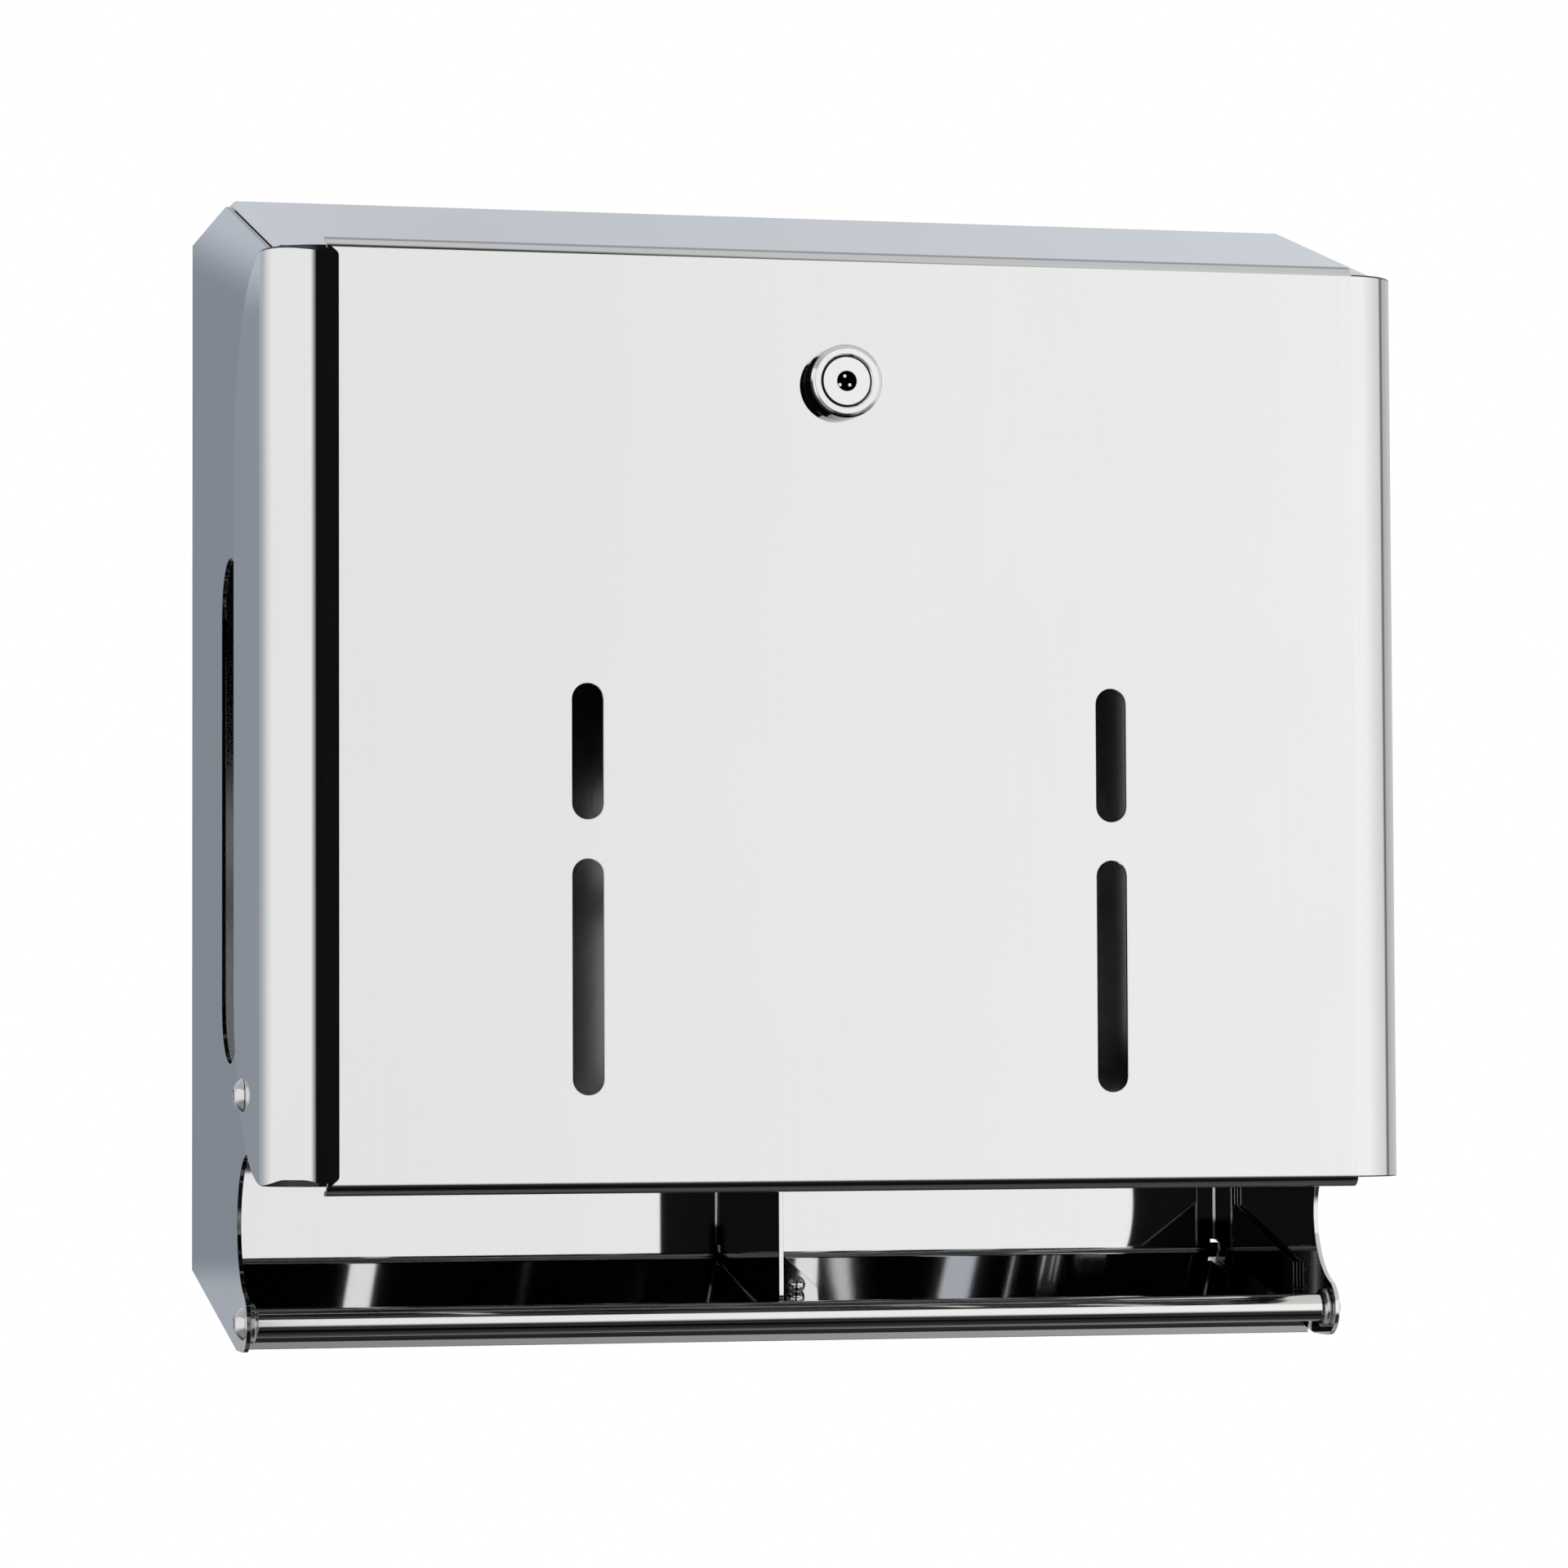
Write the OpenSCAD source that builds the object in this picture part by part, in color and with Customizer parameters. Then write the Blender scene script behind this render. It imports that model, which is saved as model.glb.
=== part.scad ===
// Wall dispenser for toilet rolls: two chutes side by side, folded from stainless sheet.
// Each chute holds a roll in use and a spare above it, behind one locking cover.
// The cover swings forward and down on two screws near its lower side corners.
// Millimetres. +Z is up, the front faces -Y and the wall is the plane Y = 0.
// The origin is the middle of the four wall screws. In the profiles below, the first
// number is the depth out from the wall and the second is the height above the rear
// bottom edge of the housing.

/* [Housing] */
// Width over the outside of the two side walls
housing_w = 254; // [244:1:274]
// Height of the side walls along the wall
housing_h = 242; // [234:1:262]
// Thickness of the housing sheet
sheet_t = 1; // [0.8:0.1:1.2]
// Outside radius of the folds in the housing sheet
fold_r = 2; // [1.6:0.1:2.6]
// Gap between the side walls and the sheets fitted between them
sheet_gap = 0.3; // [0.05:0.05:0.4]
// Depth of the flanges that the back turns forward
back_flange = 14.5; // [10:0.5:18]
// Outside radius of the folds into those flanges
side_fold_r = 1.3; // [1.3:0.1:2.2]
// Corner relief between those flanges and the trough floor
back_relief = 2.5; // [2:0.1:6]

/* [Hood] */
// Depth of the ridge of the roof out from the wall
ridge_depth = 54.5; // [45:0.5:65]
// Slope of the rear part of the roof, from the ridge down to the wall, in degrees
rear_angle = 1.5; // [0.5:0.1:3]
// Slope of the front part of the roof, in degrees
hood_angle = 16.1; // [12:0.1:20]
// Height of the roof above the edges of the side walls
hood_rise = 1.4; // [1.2:0.1:2]
// Depth of the flanges that the roof turns down inside the side walls
hood_skirt = 12; // [8:0.5:16]
// Height of the front edge that the roof turns down, where the cam catches
hood_lip = 16; // [14:0.5:18]
// Distance from the front of the cover back to that edge
hood_setback = 9; // [8:0.5:11]
// Outside radius of the folds along the side walls
hood_fold_r = 1.4; // [1.3:0.1:2.2]
// Corner relief at each end of that edge
hood_relief = 5; // [4:0.5:10]

/* [Trough] */
// Height of the trough floor where it meets the wall
trough_h = 2; // [1.8:0.1:4]
// Slope of the trough floor, in degrees
trough_angle = 11.1; // [9:0.1:12]
// Distance of the front lip of the trough behind the bar axis
trough_setback = 11.5; // [8:0.5:13]
// Outside radius of the fold into the front lip
trough_lip_r = 1.3; // [1.3:0.1:2]
// Lean of the front lip back from upright, in degrees
trough_lip_lean = 20; // [0:1:30]
// Height of the side flanges over the floor at their rear end
trough_flange_rear = 14; // [10:0.5:16]
// Height of the side flanges over the floor at their front end
trough_flange_front = 10.7; // [8:0.1:14]
// Distance from the front lip back to the front end of the side flanges
trough_flange_back = 8.3; // [6:0.1:20]

/* [Side walls] */
// Distance from the front of the cover back to the front edge of the side walls
wall_setback = 12.5; // [12:0.5:16]
// Radius of the nose that carries the bar
nose_r = 6.4; // [5.5:0.1:7.5]
// Level stretch of the bottom edge behind the nose
nose_flat = 9; // [6:0.5:12]
// Distance of the centre of the round notch in front of the bar axis
notch_lead = 7.8; // [7:0.1:8.5]
// Distance from the cover pivot down to the lower edge of its lug
lug_drop = 13; // [10:0.5:14]
// Corner radius of the lug
lug_r = 12; // [9:0.5:14]
// Depth of the middle of the long side window
window_depth = 61.3; // [56:0.1:66]
// Width of the side window
window_w = 26; // [18:0.5:30]
// Height of the lower end of the side window
window_low = 48.4; // [44:0.1:60]
// Length of the side window
window_len = 114.2; // [80:0.1:130]

/* [Front bar] */
// Depth of the bar axis out from the wall
bar_depth = 80.5; // [76:0.5:86]
// Distance of the bar axis below the rear bottom edge
bar_drop = 9; // [8:0.1:10]
// Diameter of the bar
bar_d = 6.4; // [6:0.1:8]
// Chamfer at the ends of the bar
bar_chamfer = 0.5; // [0.2:0.1:1]
// Diameter of the washers between the bar and the side walls
bar_washer_d = 9; // [8.5:0.1:11]
// Thickness of those washers
bar_washer_t = 1.6; // [1:0.1:2.4]

/* [Divider] */
// Depth of the front edge of the divider out from the wall
divider_depth = 63.8; // [50:0.1:70]
// Distance from the top of the divider down from the roof
divider_down = 22; // [16:0.5:60]
// Width of the flange screwed to the trough
divider_foot = 15.3; // [14:0.1:20]
// Length of the tapered front end of that flange
foot_taper_len = 24.5; // [16:0.5:30]
// Width that the taper takes off that flange
foot_taper_w = 5.6; // [3:0.1:7]
// Width of the flange on the back
divider_flange = 12; // [8:0.5:20]
// Corner relief between the two flanges
divider_relief = 3; // [2.5:0.5:12]
// Distance of the foot screw from the middle of the divider
foot_screw_x = 8.9; // [8:0.1:9.4]
// Distance of the foot screw back from the front edge
foot_screw_back = 22.3; // [16:0.1:40]
// Shank diameter of the foot screw
foot_screw_d = 2.5; // [2:0.1:3]
// Diameter of its ball head
foot_head_d = 4.2; // [3.8:0.1:5]
// Height of its ball head
foot_head_h = 3.6; // [3:0.1:3.8]
// Width of its nut across the flats
foot_nut_af = 5; // [4.5:0.1:6]
// Thickness of its nut
foot_nut_t = 2; // [1.6:0.1:3]

/* [Cover] */
// Depth of the front face of the cover out from the wall
cover_front = 131; // [127:0.5:140]
// Thickness of the cover sheet
cover_t = 1; // [0.8:0.1:1.2]
// Gap between the cover flanges and the side walls
cover_gap = 1; // [0.8:0.1:1.6]
// Outside radius of the upright corners
corner_r = 12.7; // [11:0.1:13.5]
// Height of the lower edge at the corners
cover_bottom = 22.2; // [20:0.1:25]
// Drop of the upper edge at the corners below the sloping edges of the side walls
cover_drop = 0.4; // [0.2:0.1:1.5]
// Depth of the side flanges, from the front face back
cover_flange = 50.5; // [46:0.5:56]
// Radius of the swept corners of the side flanges
flange_r = 42; // [36:0.5:42]
// Outside radius of the rolled upper and lower lips
lip_r = 3; // [2.4:0.1:3.6]
// Distance from the edges at the corners in to where those rolls start
lip_step = 0.9; // [0:0.1:1.4]
// Length of the flat end of the upper lip
upper_lip = 0.6; // [0.3:0.1:4]
// Length of the flat end of the lower lip
lower_lip = 1.2; // [0.3:0.1:6]

/* [Sight slots] */
// Distance of each row of slots from the middle of the cover
slot_x = 59.2; // [45:0.1:75]
// Width of the slots
slot_w = 7; // [5:0.1:9]
// Distance from the lower edge of the cover up to the lower slot
slot_rise = 19.2; // [14:0.1:40]
// Length of the lower slot
slot_low = 51.2; // [30:0.1:60]
// Web between the two slots of a row
slot_web = 8.5; // [6:0.1:14]
// Length of the upper slot
slot_high = 29.6; // [20:0.1:45]

/* [Pivot] */
// Distance of the pivot behind the front face of the cover
pivot_back = 37; // [36:0.1:38.5]
// Distance of the pivot above the lower edge of the cover
pivot_up = 19.4; // [18.5:0.1:21]
// Radial running clearance of turning pieces
run_fit = 0.05; // [0.02:0.01:0.08]
// End clearance of turning pieces
run_gap = 0.1; // [0.05:0.05:0.2]
// Diameter of the washers between cover and side walls
pivot_washer_d = 8; // [7:0.1:9]

/* [Screws] */
// Shank diameter of the screws
screw_d = 4; // [3.6:0.1:4.4]
// Diameter of the button heads
head_d = 7.6; // [7:0.1:8.4]
// Height of the button heads
head_h = 2.2; // [1.8:0.1:2.8]
// Width of the hexagon socket across its flats
socket_af = 2.5; // [2:0.1:3]
// Depth of the hexagon socket
socket_deep = 1.3; // [0.8:0.1:1.6]
// Width of the nuts across their flats
nut_af = 7; // [6.6:0.1:8]
// Thickness of the nuts
nut_t = 3.2; // [2.4:0.1:4]
// Length of screw that stands out of a nut
screw_out = 0.8; // [0.4:0.1:1.5]
// Length of screw in each end of the bar
bar_grip = 9; // [6:0.5:14]

/* [Lock] */
// Sideways place of the lock from the middle of the cover
lock_x = -2.2; // [-6:0.1:6]
// Distance of the lock below the top edge of the cover
lock_drop = 27.4; // [26:0.1:30]
// Diameter of the barrel
barrel_d = 13.5; // [13:0.1:14]
// Diameter of the bezel on the cover
bezel_d = 16.4; // [16.2:0.1:18]
// Diameter of the bezel at its front edge
bezel_front_d = 16.1; // [15.2:0.1:16.2]
// Diameter of the flat face of the bezel
bezel_face_d = 14.4; // [14:0.1:15]
// Height of the bezel
bezel_h = 5.6; // [4.5:0.1:6.5]
// Height of the chamfer around its face
bezel_edge = 0.6; // [0.3:0.1:1]
// Width of the chamfered groove around the plug
plug_groove = 0.5; // [0.3:0.1:0.7]
// Diameter of the head of the plug
plug_head_d = 10.8; // [10.4:0.1:11.4]
// Thickness of the head of the plug
plug_head_t = 1.8; // [1.2:0.1:2.4]
// Depth of the plug face inside the bezel
plug_inset = 0.2; // [0.1:0.1:1]
// Diameter of the plug in the barrel
plug_d = 9; // [8.4:0.1:9.6]
// Diameter of the round key hole
key_d = 4.4; // [4:0.1:5.4]
// Depth of the key hole
key_deep = 7; // [5:0.1:8]
// Diameter of the pins in the key hole
key_pin_d = 0.8; // [0.5:0.1:1]
// Distance of the pins from the axis
key_pin_out = 1.3; // [1:0.1:1.5]
// Width across the flats of the lock nut
lock_nut_af = 17; // [16:0.1:18]
// Thickness of the lock nut
lock_nut_t = 3; // [2:0.1:4]
// Thickness of the cam
cam_t = 2; // [1.5:0.1:2.5]
// Width of the cam
cam_w = 11; // [9:0.1:12]
// Reach of the cam from the axis to its tip
cam_reach = 21; // [20:0.1:22]
// Gap between the cam and the edge that it catches
cam_gap = 0.6; // [0.4:0.1:1]
// Square drive of the plug in the cam
drive_w = 5; // [4.6:0.1:5.4]
// Diameter of the screw that holds the cam
cam_screw_d = 3; // [2.5:0.1:3.2]
// Diameter of the head of that screw
cam_head_d = 7.4; // [7:0.1:8]
// Thickness of the head of that screw
cam_head_t = 2; // [1.6:0.1:2.6]
// Length of that screw in the plug
cam_screw_grip = 4; // [3:0.1:5]

/* [Wall mount] */
// Distance between the wall screw holes, sideways
mount_x = 152; // [120:1:180]
// Distance between the wall screw holes, upwards
mount_z = 170; // [140:1:190]
// Diameter of the wall screw holes
mount_d = 6; // [4.5:0.1:7]

/* [Hidden] */
$fn = 96;

satin = [0.80, 0.81, 0.82];
bright = [0.88, 0.88, 0.88];
zinc = [0.66, 0.67, 0.70];

// Longer than any piece: the reach of cutting blocks
far = 2 * (housing_w + housing_h);
// A difference too small to see
hair = 0.05;

// Housing
half_w = housing_w / 2;
inner_half = half_w - sheet_t;
pan_half = inner_half - sheet_gap;
mid_half = pan_half - fold_r;
back_in = sheet_t;

// Roof, which lies above the edges of the walls
ridge_h = housing_h + ridge_depth * tan(rear_angle);
hood_h = ridge_h + hood_rise;
hood_rear_h = housing_h + hood_rise;
hood_depth = cover_front - hood_setback;
hood_bend_a = hood_depth - fold_r;
hood_bend_h = hood_top(hood_bend_a) - fold_r / cos(hood_angle);
hood_run = (hood_bend_a - ridge_depth) / cos(hood_angle) + fold_r * tan(hood_angle);
hood_lip_h = hood_top(hood_depth) - hood_lip;
function hood_top(a) = hood_h - (a - ridge_depth) * tan(hood_angle);
function wall_edge(a) = ridge_h - (a - ridge_depth) * tan(hood_angle);

// Back and trough, one sheet: the centres of its three folds across the housing
back_top = hood_rear_h - sheet_t / cos(rear_angle);
skirt_low = back_top - hood_skirt;
pan_bend_h = trough_h - fold_r * tan(trough_angle) + (fold_r - sheet_t) / cos(trough_angle);
nose_low = bar_drop + nose_r;
trough_depth = bar_depth - trough_setback;
trough_bend_a = trough_depth - trough_lip_r;
trough_bend_h = floor_h(trough_bend_a) - trough_lip_r / cos(trough_angle);
trough_lip_h = (trough_bend_h + nose_low - trough_lip_r * sin(trough_lip_lean)) / cos(trough_lip_lean);
trough_run = (trough_bend_a - fold_r) * cos(trough_angle)
    - (trough_bend_h - pan_bend_h) * sin(trough_angle);
trough_flange_a = trough_depth - trough_flange_back;
trough_flange_from = back_flange + sheet_t;
function floor_h(a) = trough_h - a * tan(trough_angle);

// Side walls: the notch is tangent to the nose and to the lower edge of the lug
pivot_depth = cover_front - pivot_back;
pivot_h = cover_bottom + pivot_up;
lug_h = pivot_h - lug_drop;
wall_front = cover_front - wall_setback;
notch_r = (pow(notch_lead, 2) + pow(lug_h + bar_drop, 2) - pow(nose_r, 2))
    / (2 * (nose_r + lug_h + bar_drop));
notch_depth = bar_depth + notch_lead;
notch_h = lug_h - notch_r;

// Divider
divider_top = hood_h - divider_down;
foot_screw_s = (divider_depth - foot_screw_back) / cos(trough_angle);
foot_from = (back_in + divider_relief) / cos(trough_angle);
foot_to = (divider_depth - sheet_t) / cos(trough_angle);

// Cover
cover_half = half_w + cover_gap + cover_t;
cover_top = wall_edge(cover_front - corner_r) - cover_drop;
cover_rear = cover_front - cover_flange;
lip_half = cover_half - corner_r;
lip_low = cover_bottom + lip_step;
lip_high = cover_top - lip_step;

// Bar and screws
bar_half = inner_half - bar_washer_t;
bore_d = screw_d + 2 * run_fit;
foot_bore_d = foot_screw_d + 2 * run_fit;
pivot_grip = run_gap + cover_t + cover_gap + sheet_t + nut_t + screw_out;

// Lock: the cam lies behind the turned-down edge of the roof
lock_h = cover_top - lock_drop;
cam_front = hood_depth - sheet_t - cam_gap;
cam_rear = cam_front - cam_t;
barrel_rear = cam_front + run_gap;
bezel_face = cover_front + bezel_h;
plug_face = bezel_face - plug_inset;
head_bore_d = plug_head_d + 2 * run_fit;

// Heights count from the rear bottom edge; the origin is half way up the back
module seat() {
    translate([0, 0, -housing_h / 2]) children();
}

// A profile of depth and height, drawn out sideways from x0 over len
module across(x0, len) {
    translate([x0 + len, 0, 0]) rotate([90, 0, -90]) linear_extrude(len) children();
}

// A shape drawn out towards the front from depth a, at sideways place x and height h
module out_from(x, a, h) {
    translate([x, -a, h]) rotate([90, 0, 0]) children();
}

// The slope of the trough floor: Y runs along it, Z = 0 is its upper face
module on_floor() {
    translate([0, 0, trough_h]) rotate([trough_angle, 0, 0]) children();
}

// A bent sheet of thickness t about the bend centre, outside radius r, from angle a0 to a1.
// It runs straight for len0 before the bend and for len1 after it.
module bent(r, t, a0, a1, len0, len1) {
    lap = 5;
    mid = (a0 + a1) / 2;
    difference() {
        union() {
            intersection() {
                circle(r);
                polygon([[0, 0], for (b = [a0 - lap, mid, a1 + lap]) 3 * r * [cos(b), sin(b)]]);
            }
            bent_runs(r, a0, a1, len0, len1);
        }
        circle(r - t);
        bent_runs(r - t, a0, a1, len0, len1);
    }
}

module bent_runs(w, a0, a1, len0, len1) {
    rotate(a0) translate([0, -len0]) square([w, len0]);
    rotate(a1) square([w, len1]);
}

// An upright slot with round ends, from its lower end up
module upright_slot(w, len) {
    translate([0, w / 2]) circle(d = w);
    translate([0, len - w / 2]) circle(d = w);
    translate([-w / 2, w / 2]) square([w, len - w]);
}

// A hexagon of a given width across its flats
module hexagon(af) {
    circle(d = af / cos(30), $fn = 6);
}

// A nut on Z = 0
module nut(af, bore, t) {
    linear_extrude(t) difference() {
        hexagon(af);
        circle(d = bore);
    }
}

// A button-head screw: the head stands on Z = 0 and the shank goes down
module button_screw(len) {
    dome_r = (pow(head_d / 2, 2) + pow(head_h, 2)) / (2 * head_h);
    difference() {
        union() {
            intersection() {
                translate([0, 0, head_h - dome_r]) sphere(dome_r);
                cylinder(d = head_d, h = head_h);
            }
            translate([0, 0, -len]) cylinder(d = screw_d, h = len);
        }
        translate([0, 0, head_h - socket_deep]) linear_extrude(socket_deep) hexagon(socket_af);
    }
}

// Half of the plan of the back: its flange along the right side wall
module back_flange_plan() {
    translate([pan_half - side_fold_r, -side_fold_r])
        bent(side_fold_r, sheet_t, 0, 90, back_flange - side_fold_r, pan_half);
}

// The back and the trough floor, the back ending at height top
module pan_profile(top) {
    translate([fold_r, pan_bend_h])
        bent(fold_r, sheet_t, 180, 270 - trough_angle, top - pan_bend_h, trough_run);
}

module trough_flange() {
    under = sheet_t / cos(trough_angle);
    across(pan_half - sheet_t, sheet_t) polygon([
        [trough_flange_from, floor_h(trough_flange_from) - under],
        [trough_flange_a, floor_h(trough_flange_a) - under],
        [trough_flange_a, floor_h(trough_flange_a) + trough_flange_front],
        [trough_flange_from, floor_h(trough_flange_from) + trough_flange_rear]
    ]);
}

// What lies under the flanges of the back: the trough floor and the relief over it
module under_flange() {
    ends = [-sheet_t, back_flange + sheet_t];
    polygon([
        [ends[0], floor_h(ends[0]) + back_relief], [ends[1], floor_h(ends[1]) + back_relief],
        [ends[1], -nose_low], [ends[0], -nose_low]
    ]);
}

module back_pan() {
    color(bright) seat() difference() {
        union() {
            // The whole sheet, with the flange under the roof
            across(-mid_half, 2 * mid_half) {
                pan_profile(back_top - fold_r);
                translate([fold_r, back_top - fold_r])
                    bent(fold_r, sheet_t, 90, 180, back_flange - fold_r, fold_r);
            }
            // Lower back and floor, out to the side walls, and the front lip, a hair narrower
            across(-pan_half, 2 * pan_half) pan_profile(trough_h + back_relief - sheet_t);
            across(hair - pan_half, 2 * (pan_half - hair)) translate([trough_bend_a, trough_bend_h])
                bent(trough_lip_r, sheet_t, -trough_lip_lean, 90 - trough_angle, trough_lip_h, fold_r);
            // Side flanges of the back
            difference() {
                translate([0, 0, floor_h(back_flange)]) linear_extrude(skirt_low - floor_h(back_flange)) {
                    back_flange_plan();
                    mirror([1, 0]) back_flange_plan();
                }
                across(-half_w, housing_w) under_flange();
            }
            trough_flange();
            mirror([1, 0, 0]) trough_flange();
        }
        for (sx = [-1, 1], sz = [-1, 1])
            out_from(sx * mount_x / 2, -sheet_t, (housing_h + sz * mount_z) / 2)
                cylinder(d = mount_d, h = 3 * sheet_t);
        on_floor() translate([foot_screw_x, -foot_screw_s, -2 * sheet_t])
            cylinder(d = foot_bore_d, h = 3 * sheet_t);
    }
}

module wall_profile() {
    difference() {
        union() {
            polygon([
                [0, 0], [bar_depth - nose_flat, -nose_low], [bar_depth, -nose_low],
                [bar_depth, -bar_drop], [notch_depth, notch_h], [notch_depth, lug_h],
                [wall_front - lug_r, lug_h], [wall_front, lug_h + lug_r],
                [wall_front, wall_edge(wall_front)], [ridge_depth, ridge_h], [0, housing_h]
            ]);
            translate([bar_depth, -bar_drop]) circle(nose_r);
            translate([wall_front - lug_r, lug_h + lug_r]) circle(lug_r);
        }
        translate([notch_depth, notch_h]) circle(notch_r);
        translate([window_depth, window_low]) upright_slot(window_w, window_len);
        translate([pivot_depth, pivot_h]) circle(d = bore_d);
        translate([bar_depth, -bar_drop]) circle(d = bore_d);
    }
}

module left_wall() {
    color(satin) seat() across(-half_w, sheet_t) wall_profile();
}

module right_wall() {
    color(satin) seat() across(half_w - sheet_t, sheet_t) wall_profile();
}

// Section of a lid: half width w, top at height h, upper corners of radius r
module lid_section(w, h, r) {
    translate([-w, -far]) square([2 * w, far + h - r]);
    translate([r - w, -far]) square([2 * (w - r), far + h]);
    for (s = [-1, 1]) translate([s * (w - r), h - r]) circle(r);
}

module lid_run(tilt, w, h, r) {
    translate([0, -ridge_depth, 0]) rotate([tilt, 0, 0]) translate([0, far, 0])
        rotate([90, 0, 0]) linear_extrude(2 * far) lid_section(w, h, r);
}

// What lies under both runs of a lid, which slope away from the ridge at the origin.
// The front run is a hair wider, so that the two roundings cross instead of touching.
module lid(w, h, r) {
    intersection() {
        lid_run(-rear_angle, w, h, r);
        lid_run(hood_angle, w + hair, h, r);
    }
}

module hood() {
    color(satin) seat() {
        translate([0, 0, hood_h]) difference() {
            intersection() {
                lid(pan_half, 0, hood_fold_r);
                across(-pan_half, 2 * pan_half) intersection() {
                    translate([0, -far]) square(2 * far);
                    translate([ridge_depth, 0]) rotate(-hood_angle)
                        translate([-far, -far]) square([far + hood_run, 2 * far]);
                }
            }
            lid(pan_half - sheet_t, -sheet_t, hood_fold_r - sheet_t);
            lid(half_w, -hood_skirt, sheet_t);
        }
        // Front edge turned down
        across(hood_relief - pan_half, 2 * (pan_half - hood_relief))
            translate([hood_bend_a, hood_bend_h])
                bent(fold_r, sheet_t, 0, 90 - hood_angle, hood_bend_h - hood_lip_h, fold_r);
    }
}

// The divider turns right, on the back and on the trough floor
module divider() {
    left = -sheet_t / 2;
    rear = back_in + fold_r;
    edge = rear + fold_r / 2;
    rise = 1.5 * fold_r / cos(trough_angle);
    flange_low = floor_h(rear) + divider_relief;
    color(bright) seat() difference() {
        union() {
            across(left, sheet_t) polygon([
                [edge, floor_h(edge) + rise], [divider_depth, floor_h(divider_depth) + rise],
                [divider_depth, divider_top], [edge, divider_top]
            ]);
            translate([left + fold_r, -rear, flange_low])
                linear_extrude(divider_top - flange_low)
                    bent(fold_r, sheet_t, 90, 180, divider_flange - fold_r, fold_r);
            on_floor() translate([left + fold_r, -foot_from, fold_r]) rotate([90, 0, 0])
                linear_extrude(foot_to - foot_from)
                    bent(fold_r, sheet_t, 180, 270, fold_r, divider_foot - fold_r);
        }
        on_floor() translate([foot_screw_x, -foot_screw_s, -sheet_t])
            cylinder(d = foot_bore_d, h = 3 * sheet_t);
        on_floor() translate([left + divider_foot, -foot_to, -sheet_t])
            linear_extrude(3 * sheet_t) foot_taper();
    }
}

// What the taper takes off the front end of the foot, from its outer front corner
module foot_taper() {
    polygon([
        [-1.5 * foot_taper_w, -0.5 * foot_taper_len], [0.5 * foot_taper_w, -0.5 * foot_taper_len],
        [0.5 * foot_taper_w, 1.5 * foot_taper_len]
    ]);
}

// A screw with a ball head, flat where it sits on the foot
module divider_screw() {
    grip = 2 * sheet_t + foot_nut_t + screw_out;
    color(zinc) seat() on_floor() translate([foot_screw_x, -foot_screw_s, sheet_t]) {
        intersection() {
            translate([0, 0, foot_head_h - foot_head_d / 2]) sphere(d = foot_head_d);
            cylinder(d = 2 * foot_head_d, h = 2 * foot_head_h);
        }
        translate([0, 0, -grip]) cylinder(d = foot_screw_d, h = grip);
    }
}

module divider_nut() {
    color(zinc) seat() on_floor() translate([foot_screw_x, -foot_screw_s, -sheet_t - foot_nut_t])
        nut(foot_nut_af, foot_bore_d, foot_nut_t);
}

module bar_end() {
    translate([0, 0, bar_half - bar_chamfer])
        cylinder(d1 = bar_d, d2 = bar_d - 2 * bar_chamfer, h = bar_chamfer);
}

module front_bar() {
    straight = bar_half - bar_chamfer;
    color(bright) seat() translate([0, -bar_depth, -bar_drop]) rotate([0, 90, 0]) difference() {
        union() {
            translate([0, 0, -straight]) cylinder(d = bar_d, h = 2 * straight);
            bar_end();
            mirror([0, 0, 1]) bar_end();
        }
        for (s = [0, 1]) mirror([0, 0, s]) translate([0, 0, bar_half - bar_grip - screw_out])
            cylinder(d = screw_d, h = bar_grip + 2 * screw_out);
    }
}

// A washer with rounded-off edges, standing on Z = 0
module bar_washer() {
    edge = bar_washer_t / 4;
    difference() {
        union() {
            cylinder(d1 = bar_washer_d - 2 * edge, d2 = bar_washer_d, h = edge);
            translate([0, 0, edge]) cylinder(d = bar_washer_d, h = bar_washer_t - 2 * edge);
            translate([0, 0, bar_washer_t - edge])
                cylinder(d1 = bar_washer_d, d2 = bar_washer_d - 2 * edge, h = edge);
        }
        translate([0, 0, -bar_washer_t]) cylinder(d = bore_d, h = 3 * bar_washer_t);
    }
}

// What sits on the axis of the bar or of the pivot, with Z pointing out of the left wall
module left_axis(x, a, h) {
    translate([-x, -a, h]) rotate([0, -90, 0]) children();
}

module left_bar_washer_place() {
    color(zinc) seat() left_axis(bar_half, bar_depth, -bar_drop) bar_washer();
}

module left_bar_screw_place() {
    color(bright) seat() left_axis(half_w, bar_depth, -bar_drop)
        button_screw(sheet_t + bar_washer_t + bar_grip);
}

module left_pivot_screw_place() {
    color(bright) seat() left_axis(cover_half + run_gap, pivot_depth, pivot_h)
        button_screw(pivot_grip);
}

module left_pivot_washer_place() {
    color([0.16, 0.16, 0.17]) seat() left_axis(half_w, pivot_depth, pivot_h)
        linear_extrude(cover_gap - run_gap) difference() {
            circle(d = pivot_washer_d);
            circle(d = bore_d);
        }
}

module left_pivot_nut_place() {
    color(zinc) seat() left_axis(inner_half - nut_t, pivot_depth, pivot_h)
        nut(nut_af, bore_d, nut_t);
}

module left_bar_washer() {
    left_bar_washer_place();
}

module right_bar_washer() {
    mirror([1, 0, 0]) left_bar_washer_place();
}

module left_bar_screw() {
    left_bar_screw_place();
}

module right_bar_screw() {
    mirror([1, 0, 0]) left_bar_screw_place();
}

module left_pivot_screw() {
    left_pivot_screw_place();
}

module right_pivot_screw() {
    mirror([1, 0, 0]) left_pivot_screw_place();
}

module left_pivot_washer() {
    left_pivot_washer_place();
}

module right_pivot_washer() {
    mirror([1, 0, 0]) left_pivot_washer_place();
}

module left_pivot_nut() {
    left_pivot_nut_place();
}

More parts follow.
